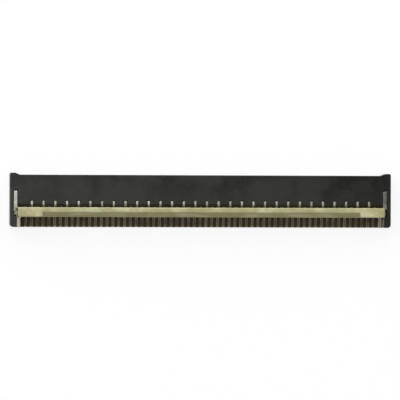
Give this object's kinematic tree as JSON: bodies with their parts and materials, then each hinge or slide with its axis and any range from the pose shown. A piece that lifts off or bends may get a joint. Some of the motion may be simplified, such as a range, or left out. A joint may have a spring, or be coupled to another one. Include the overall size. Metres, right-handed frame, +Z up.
{
  "type": "fpc connector",
  "caption": "Board-mounted back-flip connector for a fine-pitch flat flexible cable, flip lever standing open, hold-down nails at its ends.",
  "frame": {"origin": "centre of the footprint on the circuit board's surface", "axes": "+X along the row of contacts, +Y towards the cable entry, +Z up from the board"},
  "size_m": [0.0196, 0.0028, 0.0014],
  "materials": {
    "housing": "black glass-filled liquid crystal polymer, satin as moulded",
    "lever": "natural ivory-khaki liquid crystal polymer, satin as moulded",
    "front_contact": "phosphor bronze strip, plated, stamped edges",
    "rear_contact": "phosphor bronze strip, plated, stamped edges",
    "nail": "matt tin plating on stamped strip"
  },
  "bodies": {
    "base": {"housing": "housing", "nail_left": "nail", "nail_right": "nail", "front_contacts_01_03": "front_contact", "front_contacts_05_07": "front_contact", "front_contacts_09_11": "front_contact", "front_contacts_13_15": "front_contact", "front_contacts_17_19": "front_contact", "front_contacts_21_23": "front_contact", "front_contacts_25_27": "front_contact", "front_contacts_29_31": "front_contact", "front_contacts_33_35": "front_contact", "front_contacts_37_39": "front_contact", "front_contacts_41_43": "front_contact", "front_contacts_45_47": "front_contact", "front_contacts_49_51": "front_contact", "front_contacts_53_55": "front_contact", "front_contacts_57_59": "front_contact", "front_contact_61": "front_contact", "rear_contacts_02_04": "rear_contact", "rear_contacts_06_08": "rear_contact", "rear_contacts_10_12": "rear_contact", "rear_contacts_14_16": "rear_contact", "rear_contacts_18_20": "rear_contact", "rear_contacts_22_24": "rear_contact", "rear_contacts_26_28": "rear_contact", "rear_contacts_30_32": "rear_contact", "rear_contacts_34_36": "rear_contact", "rear_contacts_38_40": "rear_contact", "rear_contacts_42_44": "rear_contact", "rear_contacts_46_48": "rear_contact", "rear_contacts_50_52": "rear_contact", "rear_contacts_54_56": "rear_contact", "rear_contacts_58_60": "rear_contact"},
    "lever": {"actuator": "lever"}
  },
  "joints": [
    {"name": "lever_flip", "type": "hinge", "parent": "base", "child": "lever", "pos_m": [0, -0.00068, 0.00056], "axis": [1, 0, 0], "range_deg": [0, 90]}
  ]
}
